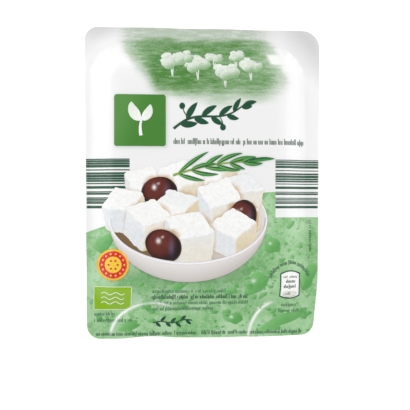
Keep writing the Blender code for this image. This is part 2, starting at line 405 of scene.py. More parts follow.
def vignetteDensity(x, y):
    # How much green the soft meadow picture has: faded in from all four sides, densest in two spots
    (x0, y0), (x1, y1) = vignette["left"]
    slant = np.array([y0 - y1, x1 - x0]) / np.hypot(x1 - x0, y0 - y1)
    fromLeft = (x - x0) * slant[0] + (y - y0) * slant[1]
    wander = 1.1 * waveSum(x, y, 21, 10, 26)
    fade = np.interp(y, (y1, y0), vignette["leftFade"][::-1])
    left = smoothstep((fromLeft + wander) / fade, 0.0, 1.0)
    bulge = 5.0 * np.exp(-((y - 45) / 9) ** 2)
    right = 1 - smoothstep(x + wander - bulge, vignette["right"] - 17, vignette["right"] + 1)
    streaks = 0.8 * waveSum(0.15 * x, y, 22, 1.6, 4.5)
    top = 1 - 0.69 * smoothstep(y + 0.25 * wander + streaks, vignette["top"] - 5.0, vignette["top"] - 0.8)
    sag = vignette["bottom"] + 0.004 * (x - 8) ** 2
    bottom = smoothstep(y + wander, sag, sag + 12)
    dense = vignette["ink"] + sum(more * spot(x, y, *place) for more, *place in vignette["denser"])
    return left * right * top * bottom * dense


def castShade(x, y):
    # Soft printed shadows: under the bowl, and along the right and bottom of the green tile
    under = 0.75 * spot(x, y, (-6, -40), (31, 7), 4)
    middle = np.add(tile["centre"], tile["shadeShift"])
    beside = roundedDepth(x, y, tile["size"], (tile["radius"],) * 4, middle)
    return np.clip(under + 0.4 * np.exp(-np.maximum(-beside, 0) / 0.7), 0, 1)


def laminateMaterial():
    # Reverse-printed polyester laminate, heat sealed: milky white and green inks under a clear
    # glossy skin, so colours stay even and highlights stay white
    material, tree = newMaterial("printedLaminate")
    place = addNode(tree, "TexCoord").outputs["Object"]
    axes = addNode(tree, "SeparateXYZ", None, {0: place})
    x, y = axes.outputs[0], axes.outputs[1]

    def math(operation, first, second):
        links = {i: value for i, value in enumerate((first, second)) if not isinstance(value, float)}
        settings = {i: value for i, value in enumerate((first, second)) if isinstance(value, float)}
        return addNode(tree, "Math", {"operation": operation, **settings}, links).outputs[0]

    def mixColour(share, first, second):
        settings, links = {"data_type": "RGBA"}, {"Factor": share}
        for key, value in ((6, first), (7, second)):
            if isinstance(value, str):
                settings[key] = colourOf(value)
            else:
                links[key] = value
        return addNode(tree, "Mix", settings, links).outputs[2]

    def ramp(value, stops):
        node = addNode(tree, "ValToRGB", None, {"Fac": value})
        while len(node.color_ramp.elements) < len(stops):
            node.color_ramp.elements.new(0.5)
        for element, (position, code) in zip(node.color_ramp.elements, stops):
            element.position = position
            element.color = colourOf(code)
        return node.outputs[0]

    def between(value, low, high):
        node = addNode(tree, "MapRange", {"From Min": low, "From Max": high}, {"Value": value})
        return node.outputs[0]

    def attribute(name):
        return addNode(tree, "Attribute", {"attribute_name": name}).outputs["Fac"]

    # meadow: ink density with long level streaks, like mown grass, and a fine grain
    streak = noiseOn(tree, place, 1.3, 4, 0.62, (0.22, 1, 1))
    grain = noiseOn(tree, place, 0.6, 3, 0.7, (0.7, 1, 1))
    texture = math("MULTIPLY", between(streak, 0.32, 0.68), 0.6)
    texture = math("ADD", texture, math("MULTIPLY", between(grain, 0.3, 0.7), 0.42))
    ink = math("MULTIPLY", attribute("meadow"), math("ADD", texture, 0.5))
    meadow = ramp(ink, (
        (0.0, vignette["paper"]), (0.22, vignette["pale"]), (0.58, vignette["mid"]), (1.0, vignette["dark"]),
    ))
    # painted light: the bare white is a little whiter over the border and the shoulder inside it
    bare = math("MULTIPLY", attribute("outer"), between(ink, 0.2, 0.0))
    meadow = mixColour(bare, meadow, border["white"])

    # green field: a leaf-like ground of broad pale patches, overlaid with its finer layers
    broad = noiseOn(tree, place, 15, 2, 0.5, (1, 1.3, 1))
    ground = ramp(broad, ((0.36, greenField["dark"]), (0.5, greenField["mid"]), (0.62, greenField["light"])))
    for *noise, low, high, strength, colour in greenField["layers"]:
        share = math("MULTIPLY", between(noiseOn(tree, place, *noise), low, high), strength)
        ground = mixColour(share, ground, greenField[colour])
    curve = math("ADD", math("MULTIPLY", x, greenField["slope"]), greenField["start"] * mm)
    curve = math("ADD", curve, math("MULTIPLY", math("MULTIPLY", x, x), greenField["bend"] / mm))
    panel = math("GREATER_THAN", x, greenField["panelX"] * mm)
    drop = math("MULTIPLY", panel, math("SUBTRACT", greenField["panelY"] * mm, curve))
    above = math("SUBTRACT", y, math("ADD", curve, drop))
    field = between(above, 0.06 * mm, -0.06 * mm)
    printed = mixColour(field, meadow, ground)

    # printed shadows, then the painted shade that greys the border's top edge and right corner
    for name, tone in (("shade", "#B6C5B9"), ("paintedShade", border["paintedShadeTone"])):
        printed = addNode(
            tree, "Mix", {"data_type": "RGBA", "blend_type": "MULTIPLY", 7: colourOf(tone)},
            {"Factor": attribute(name), 6: printed},
        ).outputs[2]
    # painted highlight along the creases and at the top corners, laid over the print
    printed = mixColour(attribute("paintedHighlight"), printed, relief["highlightTone"])

    # seal ribs: fine rounded lines that the sealing jaw leaves, parallel to the cut edge
    edge = attribute("edge")
    rib = math("SINE", math("MULTIPLY", edge, 2 * np.pi / border["ribPitch"]), 0.0)
    fadeIn = between(edge, border["ribFrom"], border["ribFrom"] + 1.2)
    fadeOut = between(edge, border["ribTo"], border["ribTo"] - 2.4)
    ribs = math("MULTIPLY", rib, math("MULTIPLY", fadeIn, fadeOut))
    ribBump = addNode(tree, "Bump", {"Distance": border["ribDepth"] * mm}, {"Height": ribs})
    finishFilm(tree, place, printed, under=ribBump.outputs[0])
    return material


filmBack = {"thickness": 0.25, "depths": (-1.5, 0.5, 2.5, 4.5, 7.2, 12.0), "shares": (0.6, 0.25)}
flange = {"foot": -3.8, "rings": 11}    # from the cut edge to the shoulder's foot


def flangeRings(loop):  # even steps inwards from the cut edge, so that they follow the creases
    foot = ringAtDepth(loop, flange["foot"])
    return [loop + (foot - loop) * share for share in np.linspace(0, 1, flange["rings"] + 1)]


pouch = {
    "underFilm": 0.33, "film": 0.3, "turn": 1.8, "wallTop": 0.2, "wallFoot": 2.4, "baseInset": 6.0,
    "baseEdge": 4.0, "pleatCount": 54, "pleatDepth": 0.55, "pleatWidths": (0.7, 2.4), "slant": 0.35,
    "topShares": (0.3, 0.7), "topDepths": (12.0, 7.0, 4.5, 2.5, 0.5, -1.5),
    "baseShares": (0.85, 0.6, 0.3), "baseHollow": 0.25, "cloudy": ("#D6D7D0", "#E2E2DD"),
}


def makeFilm(planX, planY):
    # Top: one grid under the print. Underside: rings that follow the face one film lower
    rows, columns = planX.shape
    x, y = planX.ravel(), planY.ravel()
    vertices = [np.column_stack([x, y, filmHeight(x, y)])]
    faces = [gridFaces(rows, columns)]
    above = rimOf(np.arange(rows * columns).reshape(rows, columns))
    loop = np.column_stack([x, y])[above]
    rings = flangeRings(loop) + [ringAtDepth(loop, depth) for depth in filmBack["depths"]]
    centre = np.array(block["centre"])
    rings += [centre + (rings[-1] - centre) * share for share in filmBack["shares"]]
    for ring in rings:
        start = sum(len(part) for part in vertices)
        vertices.append(raised(ring, filmHeight(*ring.T) - filmBack["thickness"]))
        here = start + np.arange(len(ring))
        faces.append(stackFaces(above, here))
        above = here
    vertices.append([[*centre, filmHeight(*centre) - filmBack["thickness"]]])
    middle = sum(len(part) for part in vertices) - 1
    fan = np.stack([np.full(len(above), middle), np.roll(above, -1), above], axis=1)
    vertices = np.concatenate(vertices)
    allX, allY = vertices[:, 0], vertices[:, 1]
    attributes = {
        "meadow": vignetteDensity(allX, allY), "shade": castShade(allX, allY),
        # a painted highlight along the creases and at the top corners
        # a painted shade on the border's top edge and right corner
        "paintedShade": paintedBorderShade(allX, allY), "paintedHighlight": paintedCreaseHighlight(allX, allY),
        # where the painted light whitens the bare white
        "outer": smoothstep(-blockDepth(allX, allY), border["whiteFrom"], 0.0),
        "edge": np.maximum(roundedDepth(allX, allY, packSize, pack["radii"]), 0.0),
    }
    allFaces = np.concatenate(faces).tolist() + fan.tolist()
    film = makePiece("printed_film", vertices, allFaces, laminateMaterial(), attributes)
    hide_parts("front_film")


def pouchMaterial():
    # Deep-drawn polyamide film, milky white: waxier than the lid, with a fine crinkle from the forming
    # and a cloudy tone where cheese or brine lies behind it
    material, tree = newMaterial("formedPouchFilm")
    place = addNode(tree, "TexCoord").outputs["Object"]
    cloud = noiseOn(tree, place, 9, 3)
    node = addNode(tree, "ValToRGB", None, {"Fac": cloud})
    for element, position, code in zip(node.color_ramp.elements, (0.3, 0.7), pouch["cloudy"]):
        element.position, element.color = position, colourOf(code)
    crinkle = noiseOn(tree, place, 5, 4, 0.55)
    bump = addNode(tree, "Bump", {"Distance": 0.25 * mm, "Strength": 0.7}, {"Height": crinkle})
    shader = addNode(
        tree, "BsdfPrincipled",
        {"Roughness": 0.32, "IOR": 1.5, "Coat Weight": 0.3, "Coat Roughness": 0.15},
        {"Base Color": node.outputs[0], "Normal": bump.outputs[0]},
    )
    addNode(tree, "OutputMaterial", None, {"Surface": shader.outputs[0]})
    return material


def makePouch(planX, planY):
    # Rings out from the middle under the film, over the flange's edge, back in below it, down the
    # pleated wall and in over the base; the pleats are seeded creases that only ever go inwards
    loop = np.column_stack([rimOf(planX), rimOf(planY)])[::3]
    count = len(loop)
    centre = np.array(block["centre"])
    along = np.concatenate([[0], np.cumsum(np.hypot(*np.diff(ringAtDepth(loop, 0.0), axis=0).T))])
    draw = np.random.default_rng(8)
    places = draw.uniform(0, along[-1], pouch["pleatCount"])
    widths = draw.uniform(*pouch["pleatWidths"], pouch["pleatCount"])
    depths = pouch["pleatDepth"] * draw.uniform(0.2, 1.0, pouch["pleatCount"])
    slants = draw.uniform(-pouch["slant"], pouch["slant"], pouch["pleatCount"])

    def pleats(height):
        away = along[:, None] - places - slants * height
        return (depths * np.exp(-((away / widths) ** 2))).sum(axis=1)

    inner = ringAtDepth(loop, pouch["topDepths"][0])
    rings = [centre + (inner - centre) * share for share in pouch["topShares"]]
    rings += [ringAtDepth(loop, depth) for depth in pouch["topDepths"]]
    rings += flangeRings(loop)[::-1]
    stack = [raised(ring, filmHeight(*ring.T) - pouch["underFilm"]) for ring in rings]
    under = pouch["underFilm"] + pouch["film"]
    for ring in flangeRings(loop) + [ringAtDepth(loop, -pouch["turn"])]:
        stack.append(raised(ring, borderHeight(*ring.T) - under))
    wallTop = pack["sealLevel"] - under - pouch["turn"]
    for angle in np.linspace(0, np.pi / 2, 6)[1:]:
        inset = -pouch["turn"] + (pouch["turn"] + pouch["wallTop"]) * np.sin(angle)
        stack.append(raised(ringAtDepth(loop, inset), wallTop + pouch["turn"] * np.cos(angle)))
    for share in np.linspace(0, 1, 15)[1:]:
        height = wallTop + (pouch["baseEdge"] - wallTop) * share
        inset = pouch["wallTop"] + (pouch["wallFoot"] - pouch["wallTop"]) * share
        fold = pleats(height) * smoothstep(share, 0.0, 0.25)
        stack.append(raised(ringAtDepth(loop, inset + fold), height))
    for angle in np.linspace(0, np.pi / 2, 8)[1:]:
        spread = pouch["baseInset"] - pouch["wallFoot"]
        inset = pouch["wallFoot"] + spread * (1 - np.cos(angle)) + pleats(2.0) * np.cos(angle)
        stack.append(raised(ringAtDepth(loop, inset), pouch["baseEdge"] * (1 - np.sin(angle))))
    base = ringAtDepth(loop, pouch["baseInset"])
    for share in pouch["baseShares"]:
        ring = centre + (base - centre) * share
        hollow = pouch["baseHollow"] * np.abs(waveSum(*ring.T, 9, 14, 30)) * (1 - share ** 8)
        stack.append(raised(ring, hollow))
    vertices = np.concatenate(stack + [[[*centre, stack[0][0, 2]]], [[*centre, 0.1]]])
    faces = [stackFaces(k * count + np.arange(count), (k + 1) * count + np.arange(count))
             for k in range(len(stack) - 1)]
    around = np.arange(count)
    top = np.stack([np.full(count, len(vertices) - 2), around, np.roll(around, -1)], axis=1)
    last = around + (len(stack) - 1) * count
    bottom = np.stack([np.full(count, len(vertices) - 1), np.roll(last, -1), last], axis=1)
    allFaces = np.concatenate(faces).tolist() + top.tolist() + bottom.tolist()
    piece = makePiece("formed_pouch", vertices, allFaces, pouchMaterial())
    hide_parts("filled_pouch")


planX, planY = packPlan()
makeFilm(planX, planY)
makePouch(planX, planY)

# Printed motifs. Each is a thin conformal layer of ink: a grid in plan, laid on the film's height
layer = {"first": 0.05, "step": 0.012, "thickness": 0.006}


def patch(x, y, tint, level=0):  # one grid, or a stack of grids, of plan points and their colour
    x, y = np.broadcast_arrays(np.asarray(x, float), y)
    if x.ndim == 2:
        x, y = x[None], y[None]
        tint = np.asarray(tint)[None] if np.ndim(tint) == 3 else tint
    if isinstance(tint, str):
        tint = linearColour(tint)
    return x, y, np.broadcast_to(tint, (*x.shape, 3)), level


def inkMaterial(name, grainMm=0.5, grain=0.05, crumbMm=0.0, crumb=0.0):
    # Gravure ink under the film's clear skin: flat colour broken by a fine dot grain, and in the
    # pictures by the mottle of what they show
    material, tree = newMaterial(name)
    place = addNode(tree, "TexCoord").outputs["Object"]
    tint = addNode(tree, "Attribute", {"attribute_name": "tint"}).outputs["Color"]
    layers = [(noiseOn(tree, place, grainMm, 2, 0.6), grain)]
    if crumb:
        layers.append((noiseOn(tree, place, crumbMm, 4, 0.65), crumb))
    for value, strength in layers:
        spread = addNode(
            tree, "MapRange",
            {"From Min": 0.3, "From Max": 0.7, "To Min": 1 - strength, "To Max": 1 + strength},
            {"Value": value},
        )
        tint = addNode(tree, "VectorMath", {"operation": "SCALE"}, {0: tint, "Scale": spread.outputs[0]})
        tint = tint.outputs[0]
    finishFilm(tree, place, tint)
    return material


def makePrint(name, patches, material):
    # Joins patches into one piece; each grid is wound so that it faces up
    vertices, faces, tints, start = [], [], [], 0
    for x, y, tint, level in patches:
        count, rows, columns = x.shape
        lift = layer["first"] + layer["step"] * level
        vertices.append(np.stack([x, y, filmHeight(x, y) + lift], axis=-1).reshape(-1, 3))
        # the painted crease highlight is laid over the prints' colours as well
        tints.append(blend(tint, relief["highlightTone"], paintedCreaseHighlight(x, y)).reshape(-1, 3))
        quads = gridFaces(rows, columns)
        ax, ay = np.diff(x, axis=2)[:, :-1], np.diff(y, axis=2)[:, :-1]
        bx, by = np.diff(x, axis=1)[:, :, :-1], np.diff(y, axis=1)[:, :, :-1]
        upward = (ax * by - ay * bx).sum(axis=(1, 2)) > 0
        for k in range(count):
            faces.append(start + k * rows * columns + (quads if upward[k] else quads[:, ::-1]))
        start += x.size
    vertices = np.concatenate(vertices)
    piece = makePiece(
        name, vertices, np.concatenate(faces).tolist(), material,
        {"tint": np.concatenate(tints)},
    )
    solid = piece.modifiers.new("inkThickness", "SOLIDIFY")
    solid.thickness = layer["thickness"] * mm
    solid.offset = -1
    return piece


def discGrid(centre, halfWidth, halfHeight, rings=8, around=40, wobble=0.0, seed=0, turn=0.0):
    # A filled ellipse as rings: share of the radius by angle, its outline swelling with low waves
    share = np.linspace(0, 1, rings + 1)[:, None]
    angle = np.linspace(0, 2 * np.pi, around + 1)[None, :]
    phases = np.random.default_rng(seed).uniform(0, 6.283, 3)
    swell = sum(np.cos(k * angle + p) / k for k, p in zip((2, 3, 5), phases))
    radius = share * (1 + wobble * swell)
    u, v = halfWidth * radius * np.cos(angle), halfHeight * radius * np.sin(angle)
    x = centre[0] + u * np.cos(turn) - v * np.sin(turn)
    y = centre[1] + u * np.sin(turn) + v * np.cos(turn)
    return x, y, share, angle


def ribbonGrid(path, halfWidths, across=3):  # a strip along a path, as wide as each point's value
    path = np.asarray(path, float)
    along = np.gradient(path, axis=0)
    along /= np.hypot(*along.T)[:, None]
    side = np.column_stack([-along[:, 1], along[:, 0]])
    offset = np.linspace(-1, 1, across)[None, :] * np.broadcast_to(halfWidths, len(path))[:, None]
    return path[:, :1] + side[:, :1] * offset, path[:, 1:] + side[:, 1:] * offset


def leafGrid(base, heading, length, width, bend=0.0):
    # A leaf: its midrib turns evenly by bend, and its half width swells and comes to a point
    t = np.linspace(0, 1, 15)
    turn = np.radians(heading) + np.radians(bend) * (t[1:] + t[:-1]) / 2
    steps = length * np.column_stack([np.cos(turn), np.sin(turn)]) / (len(t) - 1)
    path = np.array(base) + np.concatenate([[[0, 0]], np.cumsum(steps, axis=0)])
    halfWidths = width / 2 * (np.sin(np.pi * t ** 0.85) ** 0.75) + 0.02
    x, y = ribbonGrid(path, halfWidths, 7)
    return x, y, t[:, None], np.linspace(-1, 1, 7)[None, :]


def disc(centre, halfWidth, halfHeight, colour, level, rings=4, around=40):
    return patch(*discGrid(centre, halfWidth, halfHeight, rings, around)[:2], colour, level)


def ribbon(path, halfWidths, colour, level):
    return patch(*ribbonGrid(path, halfWidths), colour, level)


def leaf(base, heading, length, width, bend, colour, level):
    return patch(*leafGrid(base, heading, length, width, bend)[:2], colour, level)


def wavyPath(start, end, sway, turns, count=40):  # a line that sways sideways as a sine
    t = np.linspace(0, 1, count)[:, None]
    start, end = np.array(start, float), np.array(end, float)
    side = np.array([start[1] - end[1], end[0] - start[0]]) / np.hypot(*(end - start))
    return start + (end - start) * t + side * sway * np.sin(2 * np.pi * turns * t)


def tickRow(length, height, stroke, seed, pitch=0.56):
    # One line of small print as plain upright ticks: gaps stand for spaces, and some ticks rise
    draw = np.random.default_rng(seed)
    places = np.arange(0, length, pitch) + draw.uniform(-0.06, 0.06, int(np.ceil(length / pitch)))
    places = places[draw.random(len(places)) > 0.13]
    high = np.where(draw.random(len(places)) < 0.2, 1.0, 0.66) * height
    low = np.where(draw.random(len(places)) < 0.08, -0.26, 0.0) * height
    share = np.linspace(0, 1, 3)[None, :, None]
    x = places[:, None, None] + np.array([-0.5, 0.5]) * stroke + 0 * share
    y = low[:, None, None] + (high - low)[:, None, None] * share + np.zeros(2)
    return x, y


darkInk, midInk, paleInk = "#134F33", "#2A6643", "#437C54"


def makeTile():
    # The green tile, with a painted sheen that makes it lighter at its upper left, and a plain pale sprout
    # in it
    left, bottom = np.array(tile["centre"]) - np.array(tile["size"]) / 2
    x, y = roundedPanel(tile["size"], (tile["radius"],) * 4, 0.6, tile["centre"])
    # painted sheen: the green lightens towards the upper left
    share = smoothstep(x - 0.4 * (y - tile["centre"][1]), left, left + 14)
    patches = [patch(x, y, blend("#5A9447", "#468530", share), 1)]
    foot = np.array((tile["centre"][0] + 0.4, bottom + 4.6))
    stem = wavyPath(foot, foot + (0.3, 7.4), 0.5, 0.5)
    patches.append(ribbon(stem, np.linspace(0.75, 0.4, len(stem)), "#FAFBF8", 2))
    for heading, length, width, bend in ((150, 9.6, 4.6, -62), (32, 8.2, 3.9, 58)):
        x, y, along, _ = leafGrid(foot + (0.2, 6.8), heading, length, width, bend)
        patches.append(patch(x, y, blend("#FDFDFB", "#E6EFE0", along + 0 * x), 3))
    makePrint("print_tile", patches, inkMaterial("tileInk", 0.6, 0.03))


branch = {
    "start": (-14.2, 23.6), "end": (17.2, 34.6), "sway": 1.9, "leaves": 9, "leaf": (8.6, 2.9),
    "berry": (1.3, 1.45), "berries": ((14, (-10.4, 33.6)), (37, (7.6, 24.4))),   # stem point, centre
}


def makeBranch():
    # A brush-drawn branch: a swaying stem with leaves on alternate sides and two berries
    stem = wavyPath(branch["start"], branch["end"], branch["sway"], 1.0, 60)
    patches = [ribbon(stem, np.linspace(0.62, 0.32, len(stem)), darkInk, 1)]
    length, width = branch["leaf"]
    for i, place in enumerate(np.linspace(6, 56, branch["leaves"]).astype(int)):
        side = 1 if i % 2 else -1
        along = stem[place + 1] - stem[place - 1]
        heading = np.degrees(np.arctan2(along[1], along[0])) + side * 46
        size = (length - 0.35 * i + 0.8 * side, width - 0.1 * i)
        patches.append(leaf(stem[place], heading, *size, -side * 26, darkInk, 1 + (i + 1) % 2))
    patches.append(leaf(stem[-2], 24, 6.2, 2.2, -18, darkInk, 2))
    for place, centre in branch["berries"]:
        patches.append(ribbon(wavyPath(stem[place], centre, 0.5, 0.5, 14), 0.22, darkInk, 1))
        patches.append(disc(centre, *branch["berry"], darkInk, 2, 4, 28))
    makePrint("print_branch", patches, inkMaterial("darkGreenInk", 0.6, 0.04))


def makeTextRows():
    rows = (                                  # left, baseline, length, height, stroke, colour
        (-14.0, 16.9, 59.0, 2.6, 0.33, darkInk),
        (-23.2, -48.2, 32.5, 1.8, 0.27, paleInk), (-23.2, -50.9, 42.5, 1.9, 0.34, "#20583A"),
        (-23.2, -53.6, 43.0, 1.8, 0.27, paleInk), (-23.2, -56.2, 27.5, 1.8, 0.27, paleInk),
        (-48.2, -58.2, 9.6, 1.7, 0.27, "#3B764E"), (-48.2, -60.9, 16.4, 1.7, 0.27, "#3B764E"),
        (-47.6, -67.0, 92.0, 1.8, 0.30, midInk),
        (34.8, -54.9, 6.6, 1.5, 0.25, midInk), (33.4, -57.4, 11.4, 1.5, 0.25, midInk),
    )
    patches = []
    for seed, (left, baseline, length, height, stroke, colour) in enumerate(rows):
        x, y = tickRow(length, height, stroke, 30 + seed, 0.56 if height > 2 else 0.5)
        patches.append(patch(left + x, baseline + y, colour, 1))
    x, y = tickRow(13.8, 1.5, 0.27, 51, 0.5)         # a row that runs upwards near the right edge
    patches.append(patch(48.7 - y, -30.3 + x, midInk, 1))
    x, y = tickRow(24.0, 1.7, 0.29, 52, 0.52)        # a row on an arc over the white label
    angle, radius = np.pi - 0.35 - x / 10.0, 9.4 + y
    patches.append(patch(38.2 + radius * np.cos(angle), -45.3 + radius * np.sin(angle), "#1D553A", 1))
    garland = wavyPath((-22.8, -61.6), (-5.2, -60.8), 0.5, 1.5)
    patches.append(ribbon(garland, 0.26, darkInk, 1))
    for i, place in enumerate(range(3, 38, 5)):
        side = 1 if i % 2 else -1
        patches.append(leaf(garland[place], 52 * side, 3.1, 1.35, -20 * side, darkInk, 2))
    makePrint("print_small_rows", patches, inkMaterial("smallPrintInk", 0.5, 0.06))


bars = {
    "low": -11.2, "high": 10.9, "left": -33.4, "right": 31.1, "module": 0.33,
    "spread": (0.18, 0.07),                   # how much wider ink makes each bar, left and right
}


def makeSideBars():
    # Ladder of bars that bleeds off both sides: seeded widths of one to four modules
    draw = np.random.default_rng(5)
    widths = draw.choice((1, 2, 3, 4), 60, p=(0.48, 0.27, 0.15, 0.10)) * bars["module"]
    ends = bars["low"] + np.cumsum(widths)
    starts = ends - widths
    keep = (np.arange(60) % 2 == 0) & (ends <= bars["high"])
    patches = []
    share = np.linspace(0, 1, 24)[None, None, :]
    for side, column, spread in (("left", 0, bars["spread"][0]), ("right", -1, bars["spread"][1])):
        inner = bars[side]
        y = np.stack([starts[keep], ends[keep] + spread], axis=1)[:, :, None] + 0 * share
        outer = np.interp(y, planY[:, column], planX[:, column])
        outer -= 0.2 * np.sign(outer)
        patches.append(patch(inner + (outer - inner) * share, y, "#17543A", 1))
    makePrint("print_side_bars", patches, inkMaterial("barInk", 0.6, 0.05))


bowl = {"centre": (-7.5, -16.3), "radius": 34.8, "rimHalf": 19.5, "depthHalf": 27.2, "rim": 1.3}
picture = {"elevation": 32.5, "light": (-0.3, 0.28, 0.91), "squareness": 20}
lightAxis = np.array(picture["light"]) / np.linalg.norm(picture["light"])
# What is in the bowl, from back to front: kind, plan centre, size, turn, lean and roll in degrees
contents = (
    ("cube", (-27.0, -3.0), 13.5, 20, 8, -6), ("cube", (4.5, 1.5), 14.5, 58, -6, 8),
    ("cube", (-11.5, -1.5), 15.0, 38, 10, 4), ("cube", (16.0, -5.5), 13.5, 30, 4, 10),
    ("olive", (-20.5, -4.0), 6.6, 12, 0, 0), ("cube", (-35.5, -12.5), 14.0, 62, -6, -8),
    ("cube", (6.0, -10.0), 15.5, 24, 8, -4), ("cube", (-13.0, -13.5), 14.5, 66, 2, 6),
    ("cube", (17.0, -17.0), 11.0, 55, -4, -6), ("cube", (-25.4, -18.6), 15.0, 33, 6, 2),
    ("olive", (16.2, -15.0), 6.4, 75, 0, 0), ("cube", (12.5, -23.0), 15.0, 48, 4, -8),
    ("cube", (-7.5, -25.0), 17.0, 25, 5, 3), ("olive", (-18.6, -27.5), 6.9, 150, 0, 0),
)


def screenAxes():  # right, up and towards the viewer, for a picture seen from above at an angle
    rise = np.radians(picture["elevation"])
    return np.array([[1, 0, 0], [0, np.sin(rise), np.cos(rise)], [0, -np.cos(rise), np.sin(rise)]])


def cheeseTint(x, y, lit, top, bottom):
    # Curd: white where it faces the light, cool in half light, cream where it turns away or sits low
    low = smoothstep((top - y) / (top - bottom), 0.3, 1.05)
    tone = np.clip(lit - 0.14 * low, 0.0, 1.0)
    cream = blend("#E3D3B2", "#F1EADC", smoothstep(tone, 0.02, 0.24))
    cool = blend(cream, "#E9EDF0", smoothstep(tone, 0.2, 0.5))
    return blend(cool, "#FEFEFD", smoothstep(tone, 0.54, 0.72))


def nearShade(x, y, order):  # how much the pieces in front shade a point: 1 beside them, 0 a way off
    shade = np.zeros(np.shape(x))
    for kind, centre, size, *_ in contents[order + 1:]:
        reach = size * (0.66 if kind == "cube" else 1.08)
        away = (np.abs(x - centre[0]) ** 3 + np.abs(y - centre[1]) ** 3) ** (1 / 3) / reach
        shade = np.maximum(shade, 1 - smoothstep(away, 0.86, 1.14))
    return shade


def cubePatches(centre, size, turn, lean, roll, order):
    # A crumbly cube: each face is a grid whose points are pulled onto a rounded box (the sum of their
    # coordinates, each to a high power, is one), turned, and drawn flat as the viewer sees it
    step = np.linspace(-1, 1, 19)
    s, t = np.meshgrid(step, step)
    turns = [Matrix.Rotation(np.radians(a), 3, axis) for a, axis in ((turn, "Z"), (lean, "X"), (roll, "Y"))]
    pose = screenAxes() @ np.array(turns[0] @ turns[1] @ turns[2])
    power = picture["squareness"]
    patches = []
    for axis in range(3):
        for side in (-1.0, 1.0):
            if (pose[2, axis] * side) < 0.04:
                continue
            face = np.stack([s, t], axis=-1)
            face = np.insert(face, axis, side, axis=-1)
            face = face / (np.abs(face) ** power).sum(axis=-1, keepdims=True) ** (1 / power)
            normal = np.sign(face) * np.abs(face) ** (power - 1)
            normal /= np.linalg.norm(normal, axis=-1, keepdims=True)
            flat = face @ pose.T * size / 2
            x, y = centre[0] + flat[..., 0], centre[1] + flat[..., 1]
            lit = np.clip(normal @ pose.T @ lightAxis, 0, 1)
            wobble = [0.26 * waveSum(x, y, 61 + k, 2.4, 6) + 0.09 * waveSum(x, y, 63 + k, 0.9, 2)
                      for k in (0, 1)]
            tint = cheeseTint(x, y, lit, centre[1] + size * 0.7, centre[1] - size * 0.7)
            edge = smoothstep(np.maximum(np.abs(s), np.abs(t)), 0.8, 1.0)
            edge = edge * smoothstep(y - centre[1], -0.4 * size, 0)
            tint = blend(tint, "#FFFFFF", 0.5 * edge)
            tint = tint * blend("#FFFFFF", "#D3A868", 0.8 * nearShade(x, y, order))
            patches.append(patch(x + wobble[0], y + wobble[1], tint, 3 + order))
    return patches


def olivePatch(centre, size, turn, level):
    # A ripe olive: an egg seen from its side, dark at its rim, with two glints and a soft sheen
    x, y, _, _ = discGrid(centre, size * 1.2, size, 14, 48, 0.02, int(turn), np.radians(turn))
    nx, ny = (x - centre[0]) / size / 1.1, (y - centre[1]) / size / 1.1
    nz = np.sqrt(np.clip(1 - nx ** 2 - ny ** 2, 0, 1))
    lit = np.clip(np.stack([nx, ny, nz], axis=-1) @ lightAxis, 0, 1)
    tint = blend("#22090A", "#69291F", smoothstep(lit, 0.3, 0.98))
    glint = spot(nx, ny, (-0.30, 0.28), (0.11, 0.13)) + 0.6 * spot(nx, ny, (-0.06, 0.50), (0.07, 0.06))
    tint = blend(tint, "#7E7796", 0.35 * spot(nx, ny, (0.45, -0.1), (0.16, 0.42)))
    return patch(x, y, blend(tint, "#FFFAF8", np.minimum(glint, 1)), level)


def makeBowl():
    # The bowl, seen from above at an angle: outer wall, inside, and a rim that goes all the way round
    cx, cy = bowl["centre"]
    front = np.linspace(np.pi, 2 * np.pi, 70)[:, None]
    down = np.linspace(0, 1, 9)[None, :]
    half = bowl["rimHalf"] + (bowl["depthHalf"] - bowl["rimHalf"]) * down
    x, y = cx + bowl["radius"] * np.cos(front) + 0 * down, cy + half * np.sin(front)
    shade = np.clip(0.75 * down + 0.25 * smoothstep(np.cos(front), -0.2, 1.0), 0, 1)
    wall = blend("#EFEBE9", "#C4BDB7", shade)
    last = 3 + len(contents)
    patches = [patch(x, y, wall, last)]
    x, y, _, _ = discGrid(bowl["centre"], bowl["radius"] - 0.6, bowl["rimHalf"] - 0.4, 60, 110)
    inside = blend("#7D6244", "#A98B62", smoothstep(x, -34, 0))
    inside = blend(inside, "#E8E2DD", smoothstep(x - cx, -20, 33))
    patches.append(patch(x, y, inside, 2))
    edge = np.linspace(0, 1, 5)[None, :]
    for start, end, level in ((-0.02, np.pi + 0.02, 2.5), (np.pi - 0.04, 2 * np.pi + 0.04, last + 1)):
        angle = np.linspace(start, end, 90)[:, None]
        width = bowl["rim"] * (0.7 - 0.3 * np.sin(angle))
        outX, outY = bowl["radius"] + 0.1 - width * edge, bowl["rimHalf"] + 0.1 - width * edge
        tint = blend("#FBFAFC", "#DAD4DA", smoothstep(np.abs(edge - 0.35), 0.1, 0.7) + 0 * angle)
        patches.append(patch(cx + outX * np.cos(angle), cy + outY * np.sin(angle), tint, level))
    makePrint("print_bowl", patches, inkMaterial("bowlInk", 0.7, 0.02))


def makeContents():
    cheese, olives = [], []
    for order, (kind, centre, size, turn, lean, roll) in enumerate(contents):
        if kind == "cube":
            cheese += cubePatches(centre, size, turn, lean, roll, order)
        else:
            olives.append(olivePatch(centre, size, turn, 3 + order))
    makePrint("print_cheese", cheese, inkMaterial("cheeseInk", 0.5, 0.03, 1.7, 0.06))
    makePrint("print_olives", olives, inkMaterial("oliveInk", 0.5, 0.10, 1.1, 0.24))


herb = {
    "start": (-14.5, 3.2), "end": (19.0, 9.4), "sway": 1.4, "pairs": range(4, 55, 10), "width": 1.8,
    "stem": "#8FB04A", "lit": "#3C9440", "shaded": "#0B5430", "rib": "#B5D77E",
}


